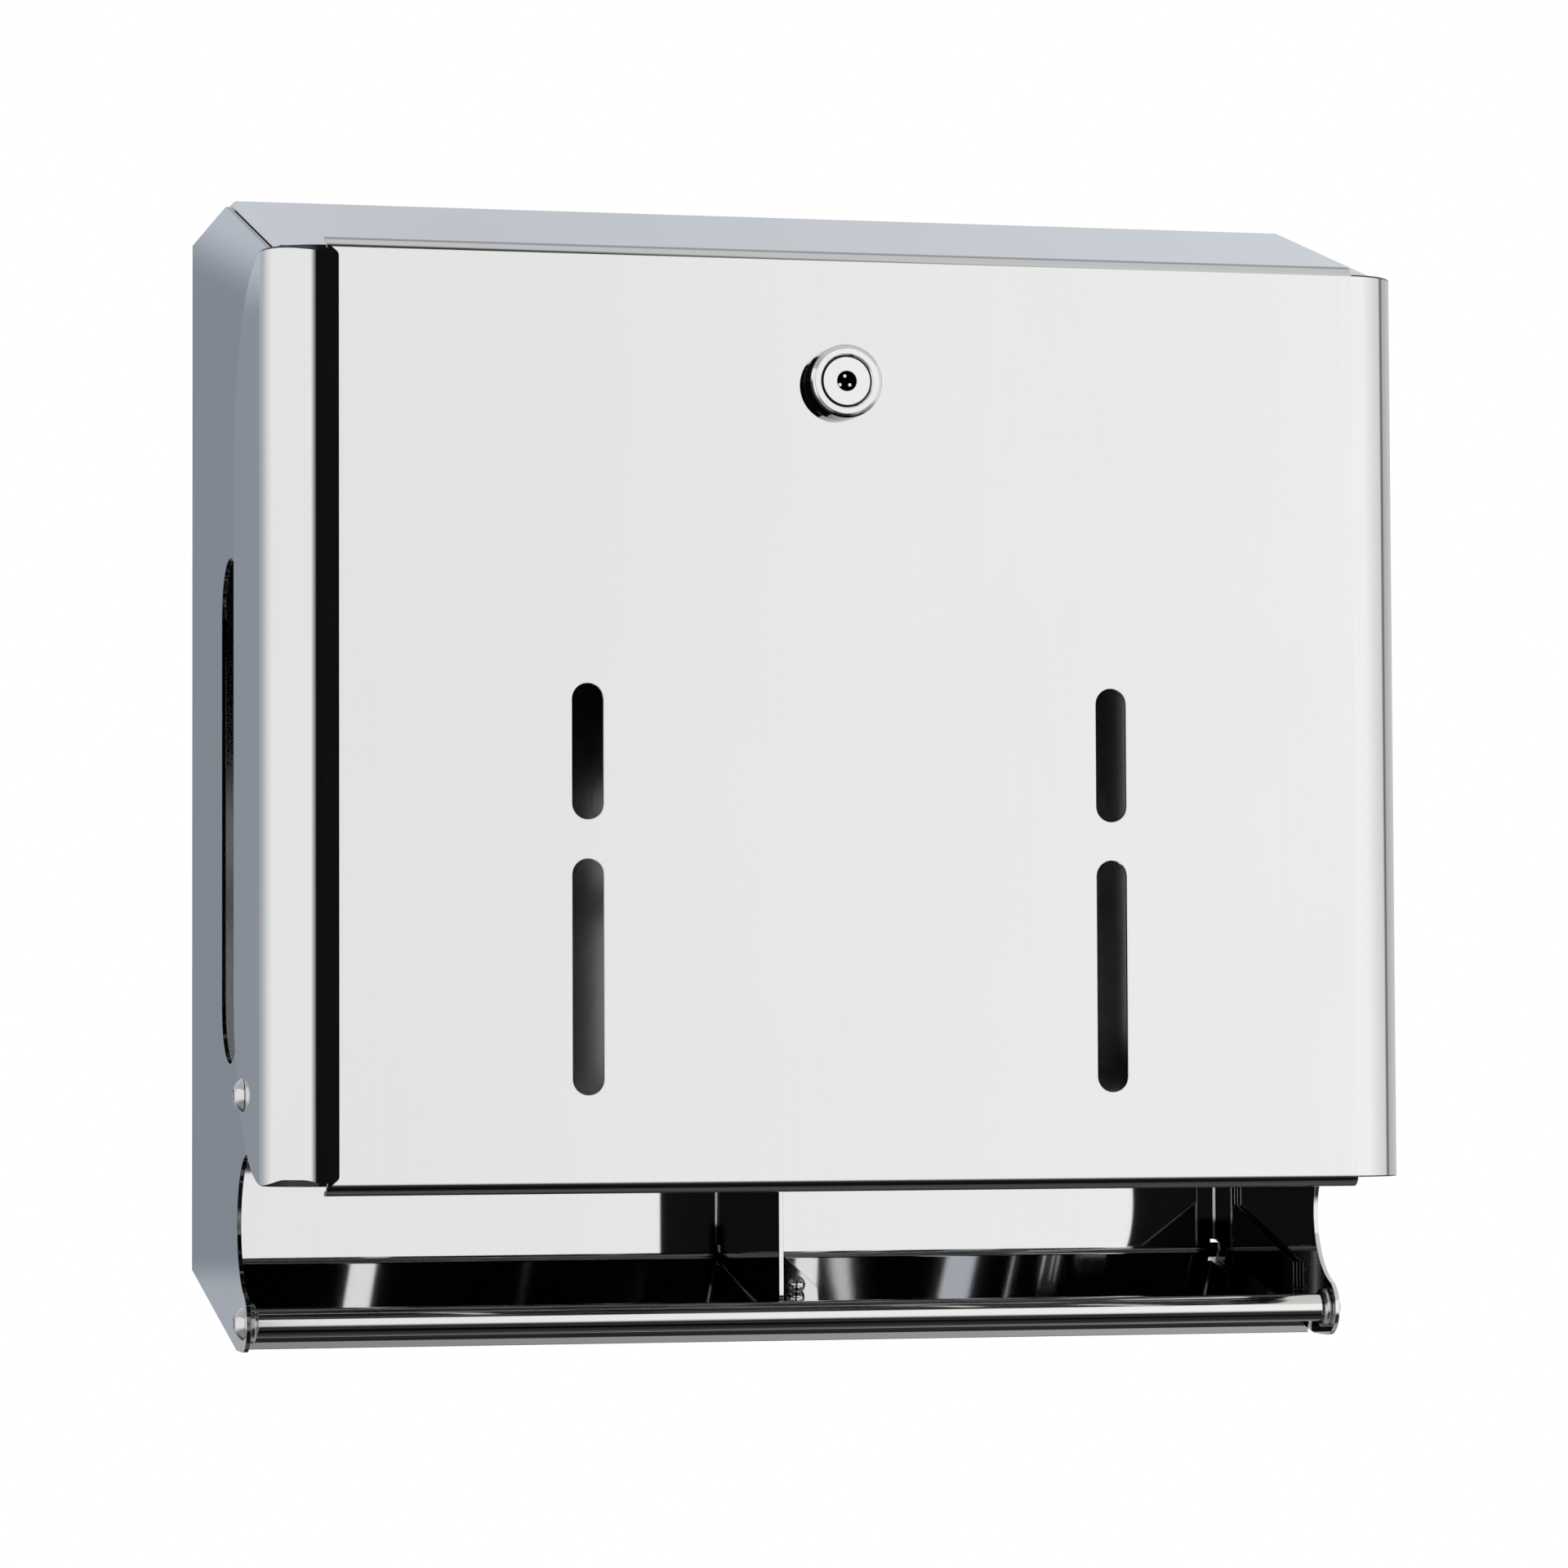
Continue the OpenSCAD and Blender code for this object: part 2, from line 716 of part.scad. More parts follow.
module right_pivot_nut() {
    mirror([1, 0, 0]) left_pivot_nut_place();
}

// Plan of a U with rounded front corners: half width w, front at depth a, corner radius r
module cover_plan(w, a, r, rear) {
    translate([-w, -(a - r)]) square([2 * w, a - r - rear]);
    translate([-(w - r), -a]) square([2 * (w - r), r]);
    for (s = [-1, 1]) translate([s * (w - r), -(a - r)]) circle(r);
}

// Side view of the cover: square in front, swept corners at the rear
module cover_side() {
    front = cover_front + cover_t;
    straight = cover_rear + flange_r;
    translate([straight, cover_bottom]) square([front - straight, cover_top - cover_bottom]);
    translate([cover_rear, cover_bottom + flange_r])
        square([flange_r, cover_top - cover_bottom - 2 * flange_r]);
    translate([straight, cover_bottom + flange_r]) circle(flange_r);
    translate([straight, cover_top - flange_r]) circle(flange_r);
}

// The lips fold back along the flat of the front only
module cover_lips() {
    across(-lip_half, 2 * lip_half) {
        translate([cover_front - lip_r, lip_high])
            bent(lip_r, cover_t, 0, 90, lip_r, upper_lip);
        translate([cover_front - lip_r, lip_low])
            bent(lip_r, cover_t, -90, 0, lower_lip, lip_r);
    }
}

module front_cover() {
    color(satin) seat() difference() {
        union() {
            difference() {
                intersection() {
                    translate([0, 0, cover_bottom]) linear_extrude(cover_top - cover_bottom)
                        difference() {
                            cover_plan(cover_half, cover_front, corner_r, cover_rear);
                            cover_plan(cover_half - cover_t, cover_front - cover_t,
                                corner_r - cover_t, 0);
                        }
                    across(-far / 2, far) cover_side();
                }
                // The flat of the front ends where its lips start to fold
                across(-lip_half, 2 * lip_half) {
                    translate([0, lip_high]) square(far);
                    translate([0, lip_low - far]) square(far);
                }
            }
            cover_lips();
        }
        for (s = [-1, 1]) out_from(s * slot_x, cover_front - 2 * cover_t, cover_bottom + slot_rise)
            linear_extrude(3 * cover_t) {
                upright_slot(slot_w, slot_low);
                translate([0, slot_low + slot_web]) upright_slot(slot_w, slot_high);
            }
        out_from(lock_x, cover_front - 2 * cover_t, lock_h)
            cylinder(d = barrel_d + 2 * run_fit, h = 3 * cover_t);
        translate([-far / 2, -pivot_depth, pivot_h]) rotate([0, 90, 0])
            cylinder(d = bore_d, h = far);
    }
}

module lock_body() {
    color(bright) seat() difference() {
        union() {
            out_from(lock_x, barrel_rear, lock_h)
                cylinder(d = barrel_d, h = cover_front - barrel_rear);
            out_from(lock_x, cover_front, lock_h)
                cylinder(d1 = bezel_d, d2 = bezel_front_d, h = bezel_h - bezel_edge);
            out_from(lock_x, bezel_face - bezel_edge, lock_h)
                cylinder(d1 = bezel_front_d, d2 = bezel_face_d, h = bezel_edge);
        }
        out_from(lock_x, barrel_rear - cam_t, lock_h)
            cylinder(d = plug_d + 2 * run_fit, h = far);
        out_from(lock_x, plug_face - plug_head_t - run_gap, lock_h)
            cylinder(d = head_bore_d, h = far);
        out_from(lock_x, bezel_face - plug_groove, lock_h)
            cylinder(d1 = head_bore_d, d2 = head_bore_d + 4 * plug_groove, h = 2 * plug_groove);
    }
}

module lock_nut() {
    color(zinc) seat() out_from(lock_x, cover_front - cover_t - lock_nut_t, lock_h)
        nut(lock_nut_af, barrel_d + 2 * run_fit, lock_nut_t);
}

module lock_plug() {
    color(bright) seat() difference() {
        union() {
            difference() {
                union() {
                    out_from(lock_x, cam_front, lock_h)
                        cylinder(d = plug_d, h = plug_face - cam_front);
                    out_from(lock_x, plug_face - plug_head_t, lock_h)
                        cylinder(d = plug_head_d, h = plug_head_t);
                    out_from(lock_x, cam_rear, lock_h)
                        translate([-drive_w / 2, -drive_w / 2, 0]) cube([drive_w, drive_w, cam_t]);
                }
                out_from(lock_x, plug_face - key_deep, lock_h)
                    cylinder(d = key_d, h = 2 * key_deep);
            }
            // Pins at the bottom of the key hole
            out_from(lock_x, plug_face - key_deep, lock_h) for (i = [0:2])
                rotate(90 + 120 * i) translate([key_pin_out, 0, 0])
                    cylinder(d = key_pin_d, h = key_deep - plug_head_t);
        }
        out_from(lock_x, cam_rear - cam_t, lock_h)
            cylinder(d = cam_screw_d, h = 2 * cam_t + cam_screw_grip);
    }
}

// The cam points right when the cover is free and up when it is locked
module lock_cam() {
    color(zinc) seat() out_from(lock_x, cam_rear, lock_h) linear_extrude(cam_t) difference() {
        union() {
            circle(d = cam_w);
            translate([0, -cam_w / 2]) square([cam_reach - cam_w / 2, cam_w]);
            translate([cam_reach - cam_w / 2, 0]) circle(d = cam_w);
        }
        square(drive_w + 2 * run_fit, center = true);
    }
}

module cam_screw() {
    color(zinc) seat() {
        out_from(lock_x, cam_rear - cam_head_t, lock_h) cylinder(d = cam_head_d, h = cam_head_t);
        out_from(lock_x, cam_rear, lock_h) cylinder(d = cam_screw_d, h = cam_t + cam_screw_grip);
    }
}

back_pan();
left_wall();
right_wall();
hood();
divider();
divider_screw();
divider_nut();
front_bar();
left_bar_washer();
right_bar_washer();
left_bar_screw();
right_bar_screw();
left_pivot_screw();
right_pivot_screw();
left_pivot_washer();
right_pivot_washer();
left_pivot_nut();
right_pivot_nut();
front_cover();
lock_body();
lock_nut();
lock_plug();
lock_cam();
cam_screw();
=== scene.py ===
"""Looks of a wall dispenser for toilet rolls, folded from polished stainless sheet.

The solids come from the frame. This script gives every piece its finish and sets up a plain
studio: a white background, a pale floor, large white cards in front and on the left, and a
narrow black flag between them.
"""

import math

import bpy
from mathutils import Matrix, Vector

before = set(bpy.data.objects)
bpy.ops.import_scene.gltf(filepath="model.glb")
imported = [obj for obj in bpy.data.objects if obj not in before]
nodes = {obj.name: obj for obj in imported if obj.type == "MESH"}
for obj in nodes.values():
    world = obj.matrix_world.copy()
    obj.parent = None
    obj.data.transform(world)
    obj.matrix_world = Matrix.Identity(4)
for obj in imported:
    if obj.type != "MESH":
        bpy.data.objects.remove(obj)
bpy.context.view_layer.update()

MM = 0.001
FULL_TURN = 2 * math.pi


class Field:
    """A socket in an expression: +, -, * and / between fields and numbers add Math nodes."""

    def __init__(self, tree, socket=None):
        self.tree, self.socket = tree, socket

    def node(self, kind, out=0, stops=None, put=None, **settings):
        """Adds a node: settings and ramp stops first, then a value or a link for each input."""
        made = self.tree.nodes.new("ShaderNode" + kind)
        for name, value in settings.items():
            setattr(made, name, value)
        if stops:
            ramp = made.color_ramp
            while len(ramp.elements) < len(stops):
                ramp.elements.new(0.5)
            for element, (place, colour) in zip(ramp.elements, stops):
                element.position = place
                element.color = (*colour, 1.0)
        for key, value in (put or {}).items():
            if isinstance(value, Field):
                self.tree.links.new(value.socket, made.inputs[key])
            else:
                made.inputs[key].default_value = value
        return Field(self.tree, made.outputs[out] if len(made.outputs) else None)

    def math(self, operation, *values):
        return self.node("Math", put=dict(enumerate(values)), operation=operation)

    def __add__(self, other):
        return self.math("ADD", self, other)

    def __sub__(self, other):
        return self.math("SUBTRACT", self, other)

    def __rsub__(self, other):
        return self.math("SUBTRACT", other, self)

    def __mul__(self, other):
        return self.math("MULTIPLY", self, other)

    def __truediv__(self, other):
        return self.math("DIVIDE", self, other)

    def __neg__(self):
        return self.math("MULTIPLY", self, -1.0)

    __radd__, __rmul__ = __add__, __mul__

    def step(self, low, high):
        """0 below low, 1 above high and smooth between; low above high turns it round."""
        return self.node("MapRange", interpolation_type="SMOOTHSTEP",
                         put={"Value": self, "From Min": low, "From Max": high})

    def mix(self, first, second):
        """Colour first where this is 0, second where it is 1."""
        return self.node("Mix", out=2, data_type="RGBA", put={0: self, 6: first, 7: second})


# A cool grey gains so many times more blue than it loses red
COOL_GAIN = 1.6


def grey(level, cool=0.0):
    """A grey tone; cool takes some red out and puts some blue in."""
    return (level * (1 - cool), level, level * (1 + COOL_GAIN * cool))


def parts(start, vector):
    """The three parts of a vector, along x, y and z."""
    return [start.node("SeparateXYZ", out=k, put={0: vector}) for k in range(3)]


# The studio as tones round the object, at eye level, below and above it. 0 degrees is straight
# ahead of the front, positive to the right as the camera sees it.
EYE_LEVEL = [
    (-180, grey(0.262, 0.10)), (-170.5, grey(0.270, 0.10)), (-161, grey(0.40, 0.06)),
    (-141, grey(0.56, 0.04)), (-121, grey(0.86)), (-111, grey(0.96)), (-30, grey(0.96)),
    (10.8, grey(0.96)), (13, grey(0.99)), (19.5, grey(1.04)), (32, grey(1.08)),
    (50, grey(1.06)), (70, grey(0.90)), (93, grey(0.75)), (98.5, grey(0.16)), (101, grey(0.16)),
    (107, grey(0.51)), (130, grey(0.61)), (150, grey(0.62, 0.03)), (170, grey(0.48, 0.03)),
    (180, grey(0.262, 0.10)),
]
BELOW = [
    (-180, grey(0.06)), (-150, grey(0.06)), (-120, grey(0.30)), (-32, grey(0.30)),
    (-14, grey(0.03)), (38, grey(0.03)), (56, grey(0.30)), (140, grey(0.30)), (165, grey(0.06)),
    (180, grey(0.06)),
]
ABOVE = [
    (-180, grey(0.66, 0.03)), (-150, grey(0.60, 0.02)), (-120, grey(0.52)), (-35, grey(0.44)),
    (-10, grey(0.05)), (14.7, grey(0.05)), (17.7, grey(0.30)), (20.7, grey(0.68)),
    (90, grey(0.64)), (158, grey(0.71, 0.045)), (165, grey(0.64, 0.05)),
    (168.5, grey(0.605, 0.052)), (171.5, grey(0.655, 0.052)), (180, grey(0.62, 0.05)),
]
ZENITH = (*grey(0.645, 0.005), 1)
BEHIND_UNDER = (*grey(0.36, 0.02), 1)
BEHIND_HIGH = (*grey(0.552, 0.075), 1)
BEHIND_LOW = (*grey(0.429, 0.07), 1)
# Heights in degrees between which one tone gives way to the next
BELOW_TO_LEVEL = (-32, -14)
LEVEL_TO_ABOVE = (26.5, 29.5)
ABOVE_TO_ZENITH = (44, 60)
UNDER_PATCH = (-56, -62)
BAND_TOP = (7.58, 8.25)
BAND_FOOT = (-1.98, -2.35)
# Behind, the tones above begin so many degrees lower
LOWER_BEHIND = 13
# The band's top slants by SLANT for each degree round the object, up to SLANT_END past SLANT_FROM
SLANT, SLANT_FROM, SLANT_END = 0.5, 8.2, 0.7
# Shares of a turn: behind on the left, and away from the front for what lies behind
LEFT_REAR = (0.10, 0.05)
REAR_UNDER = (0.27, 0.33)
REAR_ABOVE = (0.25, 0.40)


def make_studio():
    """World: tones by direction for the steel to mirror, plain white to the camera."""
    world = bpy.data.worlds.new("studio")
    world.use_nodes = True
    tree = world.node_tree
    tree.nodes.clear()
    start = Field(tree)
    direction = start.node("TexCoord", out="Generated")
    x, y, z = parts(start, direction)
    around = start.math("ARCTAN2", x, -y) / FULL_TURN + 0.5
    height = start.math("ARCSINE", z) * math.degrees(1)

    def tones(table):
        stops = [((degree + 180) / 360, tone) for degree, tone in table]
        return start.node("ValToRGB", put={0: around}, stops=stops)

    # Behind on the left, a grey band between paler tones above and below it
    behind = around.step(*LEFT_REAR)
    slanted = height + start.math("MINIMUM", around * 360 - SLANT_FROM, SLANT_END) * SLANT
    level = (behind * slanted.step(*BAND_TOP)).mix(tones(EYE_LEVEL), BEHIND_HIGH)
    level = (behind * height.step(*BAND_FOOT)).mix(level, BEHIND_LOW)
    # Behind, a pale patch far below, and the upper tones begin lower than over the front card
    from_front = start.math("ABSOLUTE", around - 0.5)
    under = from_front.step(*REAR_UNDER) * height.step(*UNDER_PATCH)
    lower = under.mix(tones(BELOW), BEHIND_UNDER)
    sides = height.step(*BELOW_TO_LEVEL).mix(lower, level)
    upper = height.step(*ABOVE_TO_ZENITH).mix(tones(ABOVE), ZENITH)
    rear = from_front.step(*REAR_ABOVE)
    whole = (height + rear * LOWER_BEHIND).step(*LEVEL_TO_ABOVE).mix(sides, upper)
    to_camera = start.node("LightPath", out="Is Camera Ray")
    seen = to_camera.mix(whole, (1.0, 1.0, 1.0, 1.0))
    light = start.node("Background", put={"Color": seen, "Strength": 1.0})
    start.node("OutputWorld", put={"Surface": light})
    bpy.context.scene.world = world


def flat_sheet(name, corners):
    """A sheet between four corners, in order round it: a 1 x 1 grid of faces."""
    mesh = bpy.data.meshes.new(name)
    mesh.from_pydata(corners, [], [(0, 1, 2, 3)])
    sheet = bpy.data.objects.new(name, mesh)
    bpy.context.scene.collection.objects.link(sheet)
    return sheet


FLAG_AWAY = -1.40
FLAG_RIGHT = 0.070
FLAG_LEFT = -0.90
FLAG_TALL = 1.2
FLAG_TONE = (0.005, 0.005, 0.005, 1)
FLAG_FULL, FLAG_GONE = -0.47, -0.74


def make_flag():
    """The black flag in front, beside the white card: only the steel mirrors it. It thins out
    to the left, where the left card begins."""
    low, high = -FLAG_TALL, FLAG_TALL
    flag = flat_sheet("black_flag", [(FLAG_LEFT, FLAG_AWAY, low), (FLAG_RIGHT, FLAG_AWAY, low),
                                     (FLAG_RIGHT, FLAG_AWAY, high), (FLAG_LEFT, FLAG_AWAY, high)])
    material, start, _, (x, _, _) = new_material("flag_cloth")
    cloth = start.node("Emission", put={"Color": FLAG_TONE, "Strength": 1.0})
    clear = start.node("BsdfTransparent")
    thin = start.node("MapRange", put={"Value": x, "From Min": FLAG_FULL, "From Max": FLAG_GONE})
    sheet = start.node("MixShader", put={0: thin, 1: cloth, 2: clear})
    start.node("OutputMaterial", put={"Surface": sheet})
    flag.data.materials.append(material)
    flag.visible_camera = False
    flag.visible_diffuse = False
    flag.visible_shadow = False


FLOOR_DEPTH = -0.42
FLOOR_REACH = 1.2
FLOOR_TONE = (0.85, 0.85, 0.85, 1)
FLOOR_WHITE = 0.8


def make_floor():
    """A level sheet below the object, pale from above and open from below."""
    near, far = -FLOOR_REACH, FLOOR_REACH
    floor = flat_sheet("floor", [(near, near, FLOOR_DEPTH), (far, near, FLOOR_DEPTH),
                                 (far, far, FLOOR_DEPTH), (near, far, FLOOR_DEPTH)])
    material, start, _, _ = new_material("floor_paper")
    lit = start.node("BsdfDiffuse", put={"Color": FLOOR_TONE})
    white = start.node("Emission", put={"Color": (1, 1, 1, 1), "Strength": 1.0})
    clear = start.node("BsdfTransparent")
    to_camera = start.node("LightPath", out="Is Camera Ray")
    paper = start.node("MixShader", put={0: to_camera * FLOOR_WHITE, 1: lit, 2: white})
    below = start.node("NewGeometry", out="Backfacing")
    sheet = start.node("MixShader", put={0: below, 1: paper, 2: clear})
    start.node("OutputMaterial", put={"Surface": sheet})
    floor.data.materials.append(material)
    floor.visible_glossy = False


CAMERA_PLACE = (-0.315803, -1.351973, -0.070291)
CAMERA_YAW = 0.241214
CAMERA_PITCH = 0.046381
CAMERA_ROLL = 0.004236
CAMERA_LENS = 132.279
CAMERA_SENSOR = 36


def make_camera():
    """Camera axes from yaw, pitch and roll: ahead, then right and down turned by the roll."""
    yaw, pitch, roll = CAMERA_YAW, CAMERA_PITCH, CAMERA_ROLL
    ahead = Vector((math.sin(yaw) * math.cos(pitch), math.cos(yaw) * math.cos(pitch),
                    math.sin(pitch)))
    level = Vector((math.cos(yaw), -math.sin(yaw), 0))
    down = ahead.cross(level)
    right = math.cos(roll) * level + math.sin(roll) * down
    under = math.cos(roll) * down - math.sin(roll) * level
    axes = Matrix((right, -under, -ahead)).transposed()
    data = bpy.data.cameras.new("camera")
    data.sensor_width = CAMERA_SENSOR
    data.lens = CAMERA_LENS
    camera = bpy.data.objects.new("camera", data)
    camera.matrix_world = Matrix.Translation(CAMERA_PLACE) @ axes.to_4x4()
    bpy.context.scene.collection.objects.link(camera)
    bpy.context.scene.camera = camera


def new_material(name):
    """An empty material: its first field, its Object coordinates and their three parts."""
    material = bpy.data.materials.new(name)
    material.use_nodes = True
    material.node_tree.nodes.clear()
    start = Field(material.node_tree)
    place = start.node("TexCoord", out="Object")
    return material, start, place, parts(start, place)


def grain(start, place, per_metre, detail=3.0, roughness=0.6):
    """Noise from 0 to 1 with so many features per metre along each axis."""
    scaled = start.node("VectorMath", operation="MULTIPLY", put={0: place, 1: per_metre})
    return start.node("TexNoise", put={"Vector": scaled, "Scale": 1.0, "Detail": detail,
                                       "Roughness": roughness})


def close(start, colour, roughness, normal=None, metallic=1.0):
    """The Principled shader and the output."""
    put = {"Base Color": colour, "Roughness": roughness, "Metallic": metallic}
    if normal is not None:
        put["Normal"] = normal
    shader = start.node("BsdfPrincipled", put=put)
    start.node("OutputMaterial", put={"Surface": shader})


EDGE_ROUND, EDGE_SAMPLES = 0.25 * MM, 4


def rounded_edges(start):
    """Normals that turn over the edges, as the deburring leaves them."""
    return start.node("Bevel", samples=EDGE_SAMPLES, put={"Radius": EDGE_ROUND})


def tilt(degrees):
    """How far a normal of length 1 is pushed sideways to lean by so many degrees."""
    return math.tan(math.radians(degrees))


# Cover: heights of its edges at the rounded corners, how far out its front is flat and its lips
# reach, and the top of its upper lip
COVER_LOW, COVER_HIGH = -98.8 * MM, 103.6 * MM
COVER_FLAT = 113.5 * MM
COVER_LIPS = 116.3 * MM
LIP_TOP = 105.7 * MM
# Edges of its left bend, where shade is also painted: a wedge at the top, tallest beside the lip,
# and a lens at the bottom
WEDGE_TALL, WEDGE_END = 0.9 * MM, 127.5 * MM
LENS_TALL = 1.2 * MM
LENS_STARTS, LENS_FULL = COVER_LIPS - 1 * MM, 121.5 * MM
LENS_FALLS, LENS_END = 125 * MM, 129 * MM
# Leans beside the bends, on the flanges and on the top and bottom edges of the bends
BESIDE_LEAN, FLANGE_LEAN, TOP_LEAN, FOOT_LEAN = tilt(2.0), tilt(1.8), 0.32, 0.9
# How dark the shade painted along the lips and the edges of the bends is
UPPER_LIP_DARK, LOWER_LIP_DARK, BEND_EDGE_DARK = 0.50, 0.80, 0.85
# Soft borders, each from where it starts to where it is full: the left half, the bends and, the
# other way round, the lips, the top and bottom edges of the bends, the edges of the lips, the
# strips beside the bends, and the flanges by how far they face sideways
LEFT_HALF = (1 * MM, -1 * MM)
ON_BEND = (COVER_LIPS, COVER_LIPS + 0.2 * MM)
ON_LIPS = ON_BEND[::-1]
TOP_EDGE = (COVER_HIGH - 0.42 * MM, COVER_HIGH - 0.28 * MM)
FOOT_EDGE = (COVER_LOW + 0.33 * MM, COVER_LOW + 0.2 * MM)
UPPER_LIP_EDGE = (LIP_TOP - 0.85 * MM, LIP_TOP - 0.6 * MM)
LOWER_LIP_EDGE = (COVER_LOW, COVER_LOW - 0.3 * MM)
BESIDE_BEND = (COVER_FLAT, COVER_FLAT + 0.35 * MM)
FLANGE_FACES = (0.985, 0.999)
# Over the last END_ZONE of a bend's height, the strip beside it starts up to END_LATER further out
END_ZONE, END_LATER = 2.6 * MM, 1.6 * MM


def bend_edges(start, spot):
    """1 along the top and along the bottom edges of the cover's bends. On the left bend the first
    is a wedge and the second a lens, on the right bend both are thin."""
    x, _, z = spot
    away, left = start.math("ABSOLUTE", x), x.step(*LEFT_HALF)
    on_bend = away.step(*ON_BEND)
    wedge = left * away.step(WEDGE_END, COVER_LIPS) * WEDGE_TALL
    top = (z + wedge).step(*TOP_EDGE) * on_bend
    rise, fall = away.step(LENS_STARTS, LENS_FULL), away.step(LENS_END, LENS_FALLS)
    lens = left * rise * fall * LENS_TALL
    low = (z - lens).step(*FOOT_EDGE) * on_bend
    return top, low


def cover_lean(start, spot, facing):
    """How the cover's normals lean: outward beside the upright bends, starting a little later
    near their ends, up along the top edges of the bends, down along their bottom edges, and
    slightly forward on the side flanges."""
    x, _, z = spot
    side, away = start.math("SIGN", x), start.math("ABSOLUTE", x)
    middle, half = (COVER_LOW + COVER_HIGH) / 2, (COVER_HIGH - COVER_LOW) / 2
    ends = start.math("ABSOLUTE", z - middle).step(half - END_ZONE, half)
    beside = (away - ends * ends * END_LATER).step(*BESIDE_BEND)
    top, low = bend_edges(start, spot)
    flange = start.math("ABSOLUTE", facing[0]).step(*FLANGE_FACES)
    return side * beside * BESIDE_LEAN, flange * -FLANGE_LEAN, top * TOP_LEAN - low * FOOT_LEAN


def cover_painted_shade(start, spot, facing):
    """Painted shade along the rear edge of the upper lip, the lower lip and the edges of the bends.
    """
    x, _, z = spot
    top, low = bend_edges(start, spot)
    upper_lip = z.step(*UPPER_LIP_EDGE) * UPPER_LIP_DARK
    on_lips = start.math("ABSOLUTE", x).step(*ON_LIPS)
    lower_lip = z.step(*LOWER_LIP_EDGE) * on_lips * LOWER_LIP_DARK
    return upper_lip + lower_lip + (top + low) * BEND_EDGE_DARK


# Trough: its slope, the rear corners where it meets the walls, and the height its floor starts at
TROUGH_SLOPE = tilt(11.1)
CORNER_OUT = (119.5 * MM, 121.5 * MM)
CORNER_BACK = (-18 * MM, -15.5 * MM)
NEAR_FLOOR = (-111 * MM, -113 * MM)
# How dark the shade painted into the rear corners is, on the trough and on the walls
CORNER_DARK = 0.94
# Sideways leans of its floor: in the left chute, and what is added in the right one, near the
# divider and further out; and how far up its front lip leans
LEFT_FLOOR_LEAN, NEAR_LEAN, FAR_LEAN = tilt(2.8), -tilt(1.4), tilt(2.0)
LIP_LEAN = 0.149
# How dark the shade painted on its side flanges and along the fold of its lip is
FLANGE_DARK, FOLD_DARK = 0.75, 0.95
# What is added to the roughness of the back, above the trough and beside the left window
BACK_DULL, WINDOW_DULL = 0.04, 0.05
ABOVE_TROUGH, BESIDE_WINDOW = (-92 * MM, -78 * MM), (-95 * MM, -108 * MM)
# Soft borders across it: the right chute and its outer part, and what lies behind the divider's
# foot, from its left and right and near the back
RIGHT_CHUTE, FURTHER_OUT = (-1 * MM, 1 * MM), (15 * MM, 35 * MM)
FOOT_LEFT, FOOT_RIGHT, FOOT_REAR = (-3 * MM, -1 * MM), (7 * MM, 5 * MM), (-4 * MM, -3 * MM)
# Soft borders of its side flanges, with their rear and front ends, and of the fold of its lip
FLANGE_OUT = (123.6 * MM, 124.4 * MM)
FLANGE_REAR, FLANGE_FRONT = (-14 * MM, -16 * MM), (-68 * MM, -66 * MM)
FOLD_FRONT, FOLD_HEIGHT = (-65 * MM, -67 * MM), (-134.95 * MM, -134.75 * MM)
# Soft borders by where a face points: the floor up, the lip down and to the front, the inner faces
# neither back nor down, the fold and the inside of the back to the front
FLOOR_FACES_UP = (0.8, 0.95)
LIP_FACES_DOWN, LIP_FACES_FRONT = (-0.2, -0.3), (-0.6, -0.8)
NOT_TO_BACK, NOT_DOWN = (0.5, 0.2), (-0.5, -0.2)
FOLD_FACES_FRONT, BACK_FACES_FRONT = (-0.3, -0.5), (-0.3, -0.6)


def trough_lean(start, spot, facing):
    """Leans of the trough's normals: sideways on its floor, up on its front lip."""
    x = spot[0]
    floor = facing[2].step(*FLOOR_FACES_UP)
    right = x.step(*RIGHT_CHUTE)
    sideways = LEFT_FLOOR_LEAN + right * (x.step(*FURTHER_OUT) * FAR_LEAN + NEAR_LEAN)
    lip = facing[2].step(*LIP_FACES_DOWN) * facing[1].step(*LIP_FACES_FRONT)
    return floor * sideways, 0.0, lip * LIP_LEAN


def trough_painted_shade(start, spot, facing):
    """Painted shade at the rear corners of the trough, behind the divider's foot and along its side
    flanges, all on its inner faces only, and along the fold of its front lip."""
    x, y, z = spot
    away = start.math("ABSOLUTE", x)
    inside = facing[1].step(*NOT_TO_BACK) * facing[2].step(*NOT_DOWN)
    corner = away.step(*CORNER_OUT) * y.step(*CORNER_BACK)
    behind = x.step(*FOOT_LEFT) * x.step(*FOOT_RIGHT) * y.step(*FOOT_REAR)
    low = z.step(*NEAR_FLOOR) * start.math("MAXIMUM", corner, behind) * CORNER_DARK
    length = y.step(*FLANGE_REAR) * y.step(*FLANGE_FRONT)
    side = away.step(*FLANGE_OUT) * length * FLANGE_DARK
    front = y.step(*FOLD_FRONT) * facing[1].step(*FOLD_FACES_FRONT)
    fold = z.step(*FOLD_HEIGHT) * front * FOLD_DARK
    return start.math("MAXIMUM", inside * start.math("MAXIMUM", low, side), fold)


def trough_dull(start, spot, facing):
    """The inner face of the back is duller above the trough, most beside the left window."""
    x, _, z = spot
    much = BACK_DULL + x.step(*BESIDE_WINDOW) * WINDOW_DULL
    return z.step(*ABOVE_TROUGH) * facing[1].step(*BACK_FACES_FRONT) * much


# Walls: their inner faces, and the cut edges, where shade is painted, by how far a face points
# sideways
WALL_INNER = (126.6 * MM, 126.3 * MM)
CUT_FACES, CUT_DARK = (0.6, 0.3), 0.8


